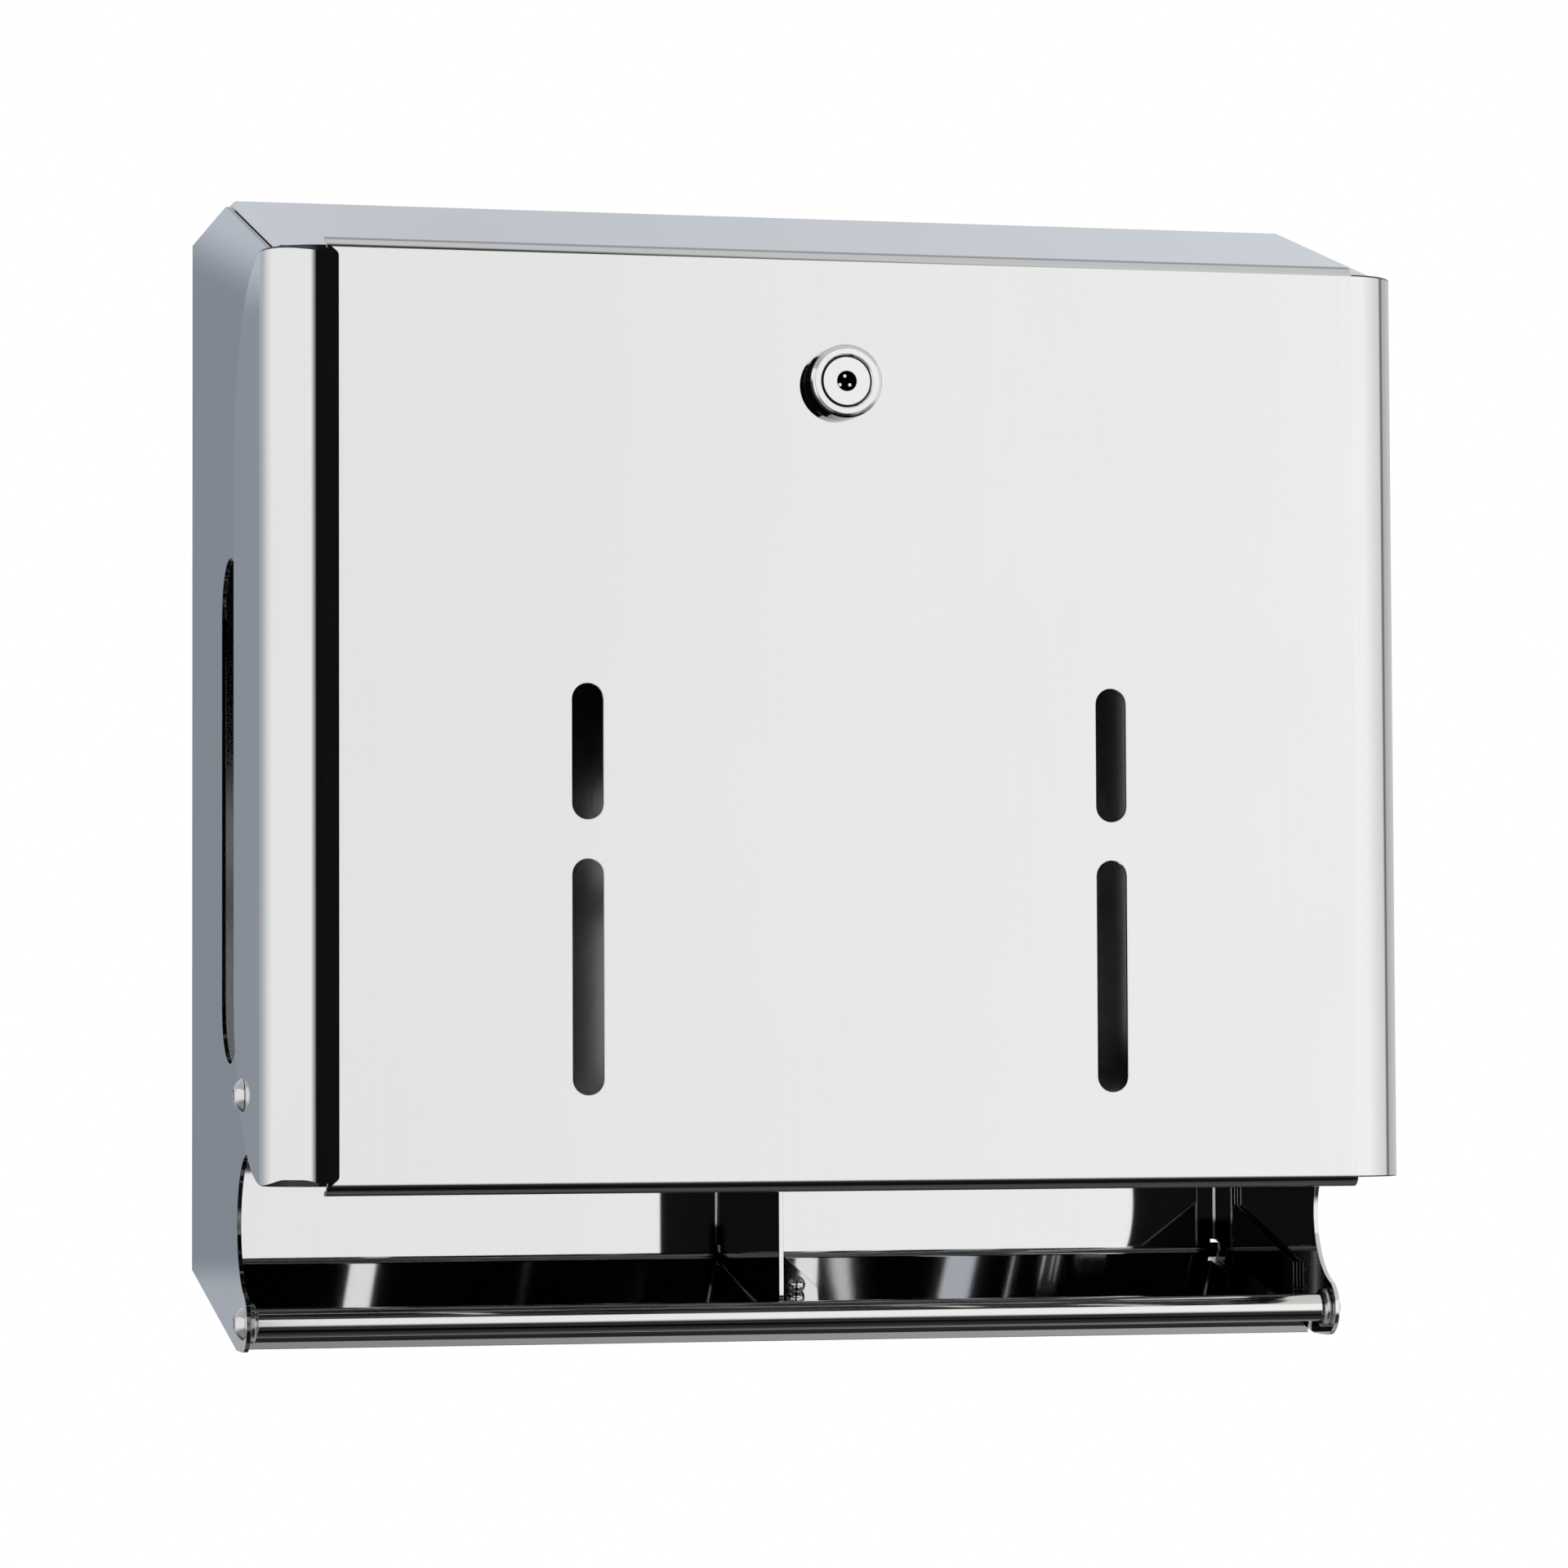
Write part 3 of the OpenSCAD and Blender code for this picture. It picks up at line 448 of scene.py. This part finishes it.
def wall_painted_shade(start, spot, facing):
    """Side walls: painted shade on their inner faces at the trough's rear corners."""
    x, y, z = spot
    inner = start.math("ABSOLUTE", x).step(*WALL_INNER)
    return inner * y.step(*CORNER_BACK) * z.step(*NEAR_FLOOR) * CORNER_DARK


def left_wall_painted_shade(start, spot, facing):
    """The left wall: as the other, with shade painted on its cut edges."""
    cut = start.math("ABSOLUTE", facing[0]).step(*CUT_FACES) * CUT_DARK
    return start.math("MAXIMUM", wall_painted_shade(start, spot, facing), cut)


# Hood: its side folds by how far they face up, and the share of the way to the top's normals
SIDE_FOLD_FACES, SIDE_FOLD_TURN = (0.15, 0.4), 0.85


def hood_lean(start, spot, facing):
    """Turns the normals of the hood's side folds most of the way to those of its top."""
    return facing[0] * facing[2].step(*SIDE_FOLD_FACES) * -SIDE_FOLD_TURN, 0.0, 0.0


# Divider: how far below the origin its foot starts at the back, the soft borders of its rear foot
# corner, of its lower fold by height above the trough and by side, and of its rear fold, and how
# dark the shade painted on each is
FOOT_BELOW = 119 * MM
FOOT_CORNER_REAR, FOOT_CORNER_LOW = (-10 * MM, -7 * MM), (-110 * MM, -112.5 * MM)
LOWER_FOLD, LOWER_FOLD_SIDE = (3.2 * MM, 2.2 * MM), (2.4 * MM, 1.6 * MM)
REAR_FOLD = (-4 * MM, -3 * MM)
FOOT_CORNER_DARK, LOWER_FOLD_DARK, REAR_FOLD_DARK = 0.92, 0.85, 0.55


def divider_painted_shade(start, spot, facing):
    """Painted shade at the divider's rear foot corner, along its lower fold and, less so, its rear
    fold.
    """
    x, y, z = spot
    above = z + FOOT_BELOW - y * TROUGH_SLOPE
    corner = y.step(*FOOT_CORNER_REAR) * z.step(*FOOT_CORNER_LOW) * FOOT_CORNER_DARK
    lower = above.step(*LOWER_FOLD) * x.step(*LOWER_FOLD_SIDE) * LOWER_FOLD_DARK
    rear = y.step(*REAR_FOLD) * REAR_FOLD_DARK
    return start.math("MAXIMUM", start.math("MAXIMUM", corner, lower), rear)


# Upright and level grain: lines about half a millimetre apart and several centimetres long
UPRIGHT_GRAIN, LEVEL_GRAIN = (2200, 2200, 16), (16, 2200, 2200)
LIES_LEVEL = (0.4, 0.6)
CLOUDS = (26, 26, 14)
# Tones of the sheet between the dark and the pale lines of its grain, and of the shade painted on
# it
SHEET_DARK, SHEET_PALE = (0.775, 0.778, 0.783, 1), (0.825, 0.826, 0.828, 1)
SHEET_PAINTED_SHADE = (0.012, 0.012, 0.013, 1)
# Shares of the lines and the clouds in the tone and in the roughness, and the least roughness
LINES_TONE, CLOUDS_TONE = 0.45, 0.55
SHEET_ROUGH, LINES_ROUGH, CLOUDS_ROUGH = 0.022, 0.02, 0.012


def sheet_steel(name, lean_of=None, painted_shade_of=None, dull_of=None):
    """Polished sheet: fine grain in tone and gloss, faint clouds, edges rounded by the deburring.
    lean_of gives three numbers by which the normals lean, the shade function where shade is painted
    into the colour and how dark, and dull_of what is added to its roughness."""
    material, start, place, spot = new_material(name)
    normal = start.node("NewGeometry", out="Normal")
    facing = parts(start, normal)
    level = start.math("ABSOLUTE", facing[2]).step(*LIES_LEVEL)
    upright_lines = grain(start, place, UPRIGHT_GRAIN)
    level_lines = grain(start, place, LEVEL_GRAIN)
    lines = level * (level_lines - upright_lines) + upright_lines
    clouds = grain(start, place, CLOUDS, 4.0, 0.55)
    tone = 0.5 + (lines - 0.5) * LINES_TONE + (clouds - 0.5) * CLOUDS_TONE
    colour = tone.mix(SHEET_DARK, SHEET_PALE)
    rough = SHEET_ROUGH + lines * LINES_ROUGH + clouds * CLOUDS_ROUGH
    # Painted shade: the sheet's colour darkens where the shade function says
    if painted_shade_of:
        colour = painted_shade_of(start, spot, facing).mix(colour, SHEET_PAINTED_SHADE)
    if dull_of:
        rough = rough + dull_of(start, spot, facing)
    rounded = rounded_edges(start)
    if lean_of:
        lean = start.node("CombineXYZ", put=dict(enumerate(lean_of(start, spot, facing))))
        turned = start.node("VectorTransform", vector_type="VECTOR", convert_from="OBJECT",
                            convert_to="WORLD", put={0: lean})
        leaning = start.node("VectorMath", operation="ADD", put={0: rounded, 1: turned})
        rounded = start.node("VectorMath", operation="NORMALIZE", put={0: leaning})
    close(start, colour, rough, rounded)
    return material


# Bar: its lines and clouds, their tones and roughness
BAR_LINES, BAR_CLOUDS = (14, 3000, 3000), (60, 400, 400)
BAR_DARK, BAR_PALE = (0.78, 0.765, 0.745, 1), (0.87, 0.86, 0.845, 1)
BAR_ROUGH, BAR_LINES_ROUGH, BAR_CLOUDS_ROUGH = 0.05, 0.04, 0.03
# Its band of painted shade lies between two heights of the normal, on its front
BAND_STARTS, BAND_STOPS, BAND_FRONT = (-0.42, -0.5), (-0.89, -0.83), (-0.3, -0.5)
BAR_PAINTED_SHADE, BAND_DARK = (0.02, 0.018, 0.016, 1), 0.95


def bar_steel(name):
    """Drawn and polished bar: fine lines along its length, slightly warm, with a band of painted
    shade low on its front."""
    material, start, place, _ = new_material(name)
    lines = grain(start, place, BAR_LINES)
    clouds = grain(start, place, BAR_CLOUDS)
    colour = lines.mix(BAR_DARK, BAR_PALE)
    _, front, up = parts(start, start.node("NewGeometry", out="Normal"))
    band = up.step(*BAND_STARTS) * up.step(*BAND_STOPS) * front.step(*BAND_FRONT)
    colour = (band * BAND_DARK).mix(colour, BAR_PAINTED_SHADE)
    rough = BAR_ROUGH + lines * BAR_LINES_ROUGH + clouds * BAR_CLOUDS_ROUGH
    close(start, colour, rough, rounded_edges(start))
    return material


def plain_metal(name, dark, pale, rough, rough_range, per_metre=(900, 900, 900)):
    """Small turned or pressed metal parts: mottled tone and gloss, rounded edges."""
    material, start, place, _ = new_material(name)
    spots = grain(start, place, per_metre, 4.0)
    colour = spots.mix((*dark, 1), (*pale, 1))
    close(start, colour, rough + spots * rough_range, rounded_edges(start))
    return material


# Lock: its axis, the radii of the key hole, of the groove round the plug and of the bezel's rim,
# and the depth of the pins' ends in the key hole
LOCK_X, LOCK_Z = -2.2 * MM, 76.21 * MM
KEY_HOLE, GROOVE, RIM = 2.2 * MM, 5.42 * MM, 7.9 * MM
PIN_ENDS = -134.6 * MM
PLATE_GRAIN = (300, 300, 300)
PLATE_DARK, PLATE_PALE = (0.80, 0.80, 0.805, 1), (0.86, 0.86, 0.865, 1)
PLATE_ROUGH, SPOTS_ROUGH, HOLE_ROUGH = 0.04, 0.03, 0.4
# The tone of the shade painted into the lock
LOCK_PAINTED_SHADE = (0.008, 0.008, 0.008, 1)
# Soft borders of the painted shade: the key hole's edge and wall, what lies behind the pins' ends,
# the groove's width, the rim and its lower part, which faces down by LOW_DOWN and left by LOW_LEFT
HOLE_EDGE, HOLE_WALL = (1.02 * KEY_HOLE, 1.004 * KEY_HOLE), (0.80 * KEY_HOLE, 0.84 * KEY_HOLE)
BEHIND_PINS = (PIN_ENDS + 0.02 * MM, PIN_ENDS + 0.1 * MM)
GROOVE_WIDTH, GROOVE_DARK = (0.25 * MM, 0.15 * MM), 0.9
RIM_EDGE, RIM_DARK = (RIM, RIM + 0.1 * MM), 0.5
LOW_RIM_EDGE, LOW_RIM_STARTS = (RIM - 0.3 * MM, RIM - 0.2 * MM), (3 * MM, 4.5 * MM)
LOW_DOWN, LOW_LEFT, LOW_RIM_DARK = 0.87, 0.5, 0.95


def lock_chrome(name):
    """Plated lock: painted shade on the key hole's wall and behind the pins' ends, in the groove
    round the plug and at the bezel's rim, most at its lower left."""
    material, start, place, (x, y, z) = new_material(name)
    spots = grain(start, place, PLATE_GRAIN, 4.0)
    from_axis = start.node("CombineXYZ", put={0: x - LOCK_X, 2: z - LOCK_Z})
    radius = start.node("VectorMath", out="Value", operation="LENGTH", put={0: from_axis})
    wall = radius.step(*HOLE_WALL)
    deep = y.step(*BEHIND_PINS)
    hole = radius.step(*HOLE_EDGE) * start.math("MAXIMUM", wall, deep)
    groove = start.math("ABSOLUTE", radius - GROOVE).step(*GROOVE_WIDTH) * GROOVE_DARK
    under = (LOCK_Z - z) * LOW_DOWN + (LOCK_X - x) * LOW_LEFT
    rim = radius.step(*RIM_EDGE) * RIM_DARK
    low_rim = radius.step(*LOW_RIM_EDGE) * under.step(*LOW_RIM_STARTS) * LOW_RIM_DARK
    dark = start.math("MAXIMUM", hole + groove, start.math("MAXIMUM", rim, low_rim))
    plated = spots.mix(PLATE_DARK, PLATE_PALE)
    rough = PLATE_ROUGH + spots * SPOTS_ROUGH + hole * HOLE_ROUGH
    close(start, dark.mix(plated, LOCK_PAINTED_SHADE), rough, rounded_edges(start))
    return material


NYLON_SKIN, SKIN_DEPTH, SKIN_STRENGTH = (2500, 2500, 2500), 0.05 * MM, 0.2
NYLON_DARK, NYLON_PALE = (0.015, 0.015, 0.016, 1), (0.035, 0.035, 0.037, 1)
NYLON_ROUGH, SKIN_ROUGH = 0.4, 0.15


def nylon(name):
    """Dark moulded nylon with a fine matt skin."""
    material, start, place, _ = new_material(name)
    skin = grain(start, place, NYLON_SKIN, 4.0)
    colour = skin.mix(NYLON_DARK, NYLON_PALE)
    bump = start.node("Bump", put={"Strength": SKIN_STRENGTH, "Distance": SKIN_DEPTH,
                                   "Height": skin})
    close(start, colour, NYLON_ROUGH + skin * SKIN_ROUGH, bump, metallic=0.0)
    return material


FINISHES = {
    "left": sheet_steel("left_wall_sheet", painted_shade_of=left_wall_painted_shade),
    "right": sheet_steel("right_wall_sheet", painted_shade_of=wall_painted_shade),
    "hood": sheet_steel("hood_sheet", hood_lean),
    "cover": sheet_steel("cover_sheet", cover_lean, cover_painted_shade),
    "trough": sheet_steel("trough_sheet", trough_lean, trough_painted_shade, trough_dull),
    "divider": sheet_steel("divider_sheet", painted_shade_of=divider_painted_shade),
    "bar": bar_steel("polished_bar"),
    "screw": plain_metal("screw_steel", (0.68, 0.68, 0.69), (0.80, 0.80, 0.81), 0.10, 0.10),
    "spacer": plain_metal("turned_spacer", (0.55, 0.55, 0.56), (0.70, 0.70, 0.71), 0.14, 0.10),
    "nylon": nylon("dark_nylon"),
    "ball": plain_metal("ball_chrome", (0.80, 0.80, 0.805), (0.86, 0.86, 0.865), 0.04, 0.03,
                        (300, 300, 300)),
    "lock": lock_chrome("lock_chrome"),
    "zinc": plain_metal("zinc_plate", (0.52, 0.53, 0.55), (0.68, 0.69, 0.71), 0.24, 0.14,
                        (500, 500, 500)),
}
WEARS = {
    "left": ["left_wall"],
    "right": ["right_wall"],
    "hood": ["hood"],
    "cover": ["front_cover"],
    "trough": ["back_pan"],
    "divider": ["divider"],
    "bar": ["front_bar"],
    "screw": ["divider_nut", "left_bar_screw", "right_bar_screw", "left_pivot_screw",
              "right_pivot_screw", "left_pivot_nut", "right_pivot_nut"],
    "spacer": ["left_bar_washer", "right_bar_washer"],
    "nylon": ["left_pivot_washer", "right_pivot_washer"],
    "ball": ["divider_screw"],
    "lock": ["lock_body", "lock_plug"],
    "zinc": ["lock_nut", "lock_cam", "cam_screw"],
}
for finish, wearers in WEARS.items():
    for wearer in wearers:
        nodes[wearer].data.materials.clear()
        nodes[wearer].data.materials.append(FINISHES[finish])

make_studio()
make_flag()
make_floor()
make_camera()
bpy.context.scene.view_settings.view_transform = "Standard"
